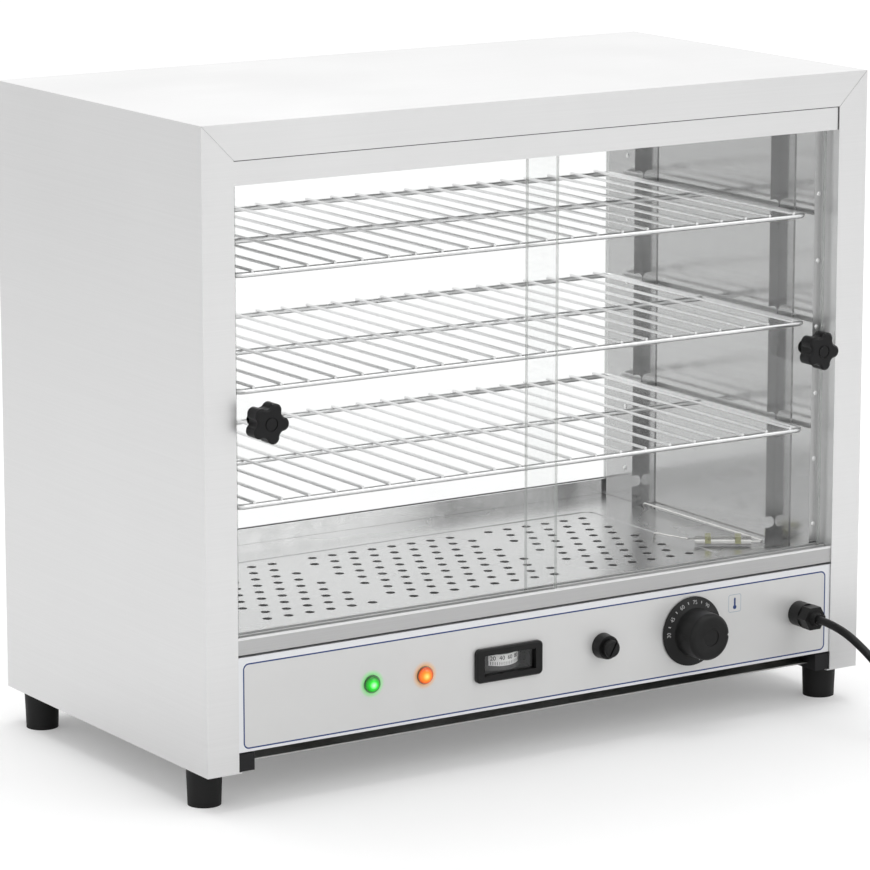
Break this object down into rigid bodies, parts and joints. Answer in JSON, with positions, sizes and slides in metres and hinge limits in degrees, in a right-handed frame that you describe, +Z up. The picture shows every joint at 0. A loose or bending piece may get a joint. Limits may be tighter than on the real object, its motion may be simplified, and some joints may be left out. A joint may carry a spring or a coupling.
{
  "type": "heated display case",
  "caption": "Countertop heated display case with sliding glass doors, wire racks, a control panel and a supply cord.",
  "frame": {"origin": "on the surface that the case stands on, under the middle of its box with the controls and without its cord", "axes": "+X to the right seen from the front, +Y from the doors to the rear pane, +Z up"},
  "size_m": [0.8079, 0.5281, 0.542],
  "materials": {
    "casing": "brushed",
    "liner": "polished",
    "track": "satin",
    "glass": "clear",
    "wire": "bright",
    "panel": "satin",
    "pan": "plain",
    "screw": "zinc plated",
    "rubber": "matt",
    "black": "matt",
    "dial": "satin",
    "green": "clear",
    "orange": "clear",
    "window": "clear",
    "ceramic": "matt",
    "element": "dull",
    "copper": "plain",
    "brass": "bright",
    "cord": "satin"
  },
  "bodies": {
    "cabinet": {"outer_casing": "casing", "bottom_door_track": "track", "top_door_track": "track", "rear_bottom_channel": "track", "rear_top_channel": "track", "rear_glass": "glass", "left_liner": "liner", "right_liner": "liner", "ceiling_liner": "liner", "perforated_floor": "casing", "front_left_upright": "liner", "rear_left_upright": "liner", "front_right_upright": "liner", "rear_right_upright": "liner", "bottom_rack": "wire", "middle_rack": "wire", "top_rack": "wire", "base_pan": "pan", "corner_blocks": "black", "feet": "rubber", "foot_screws": "screw", "rear_panel": "casing", "control_panel": "panel", "green_lamp_lens": "green", "orange_lamp_lens": "orange", "lamp_bezels": "screw", "lamp_bodies": "black", "thermometer_bezel": "black", "thermometer_window": "window", "thermometer_body": "black", "reset_bezel": "black", "limiter_body": "ceramic", "thermostat_body": "ceramic", "cable_gland": "black", "gland_locknut": "black", "terminal_block": "ceramic", "inner_cable": "cord", "heating_element": "element", "element_brackets": "pan", "sensor_bulbs": "copper", "sensor_clips": "pan", "capillaries": "copper", "cord_lead": "cord", "cord_coil": "cord", "cord_tail": "cord", "coil_tie": "black", "plug_body": "black", "plug_pins": "brass"},
    "left_door": {"left_door_glass": "glass", "left_door_knob": "black", "left_knob_screw": "screw", "left_knob_washers": "rubber"},
    "right_door": {"right_door_glass": "glass", "right_door_knob": "black", "right_knob_screw": "screw", "right_knob_washers": "rubber"},
    "dial": {"thermostat_knob": "dial", "thermostat_shaft": "screw"},
    "reset": {"reset_button": "black"},
    "meter_drum": {"thermometer_drum": "black"}
  },
  "joints": [
    {"name": "left_door_slide", "type": "slide", "parent": "cabinet", "child": "left_door", "axis": [1, 0, 0], "range_m": [0, 0.245]},
    {"name": "right_door_slide", "type": "slide", "parent": "cabinet", "child": "right_door", "axis": [1, 0, 0], "range_m": [-0.245, 0]},
    {"name": "dial_turn", "type": "hinge", "parent": "cabinet", "child": "dial", "pos_m": [0.146, -0.1625, 0.0844], "axis": [0, 1, 0], "range_deg": [0, 290]},
    {"name": "reset_press", "type": "slide", "parent": "cabinet", "child": "reset", "axis": [0, 1, 0], "range_m": [0, 0.003], "stiffness_N_per_m": 1200},
    {"name": "meter_drum_turn", "type": "hinge", "parent": "cabinet", "child": "meter_drum", "pos_m": [-0.038, -0.1262, 0.0844], "axis": [0, 0, 1], "range_deg": [0, 90], "stiffness_Nm_per_rad": 0.002}
  ]
}
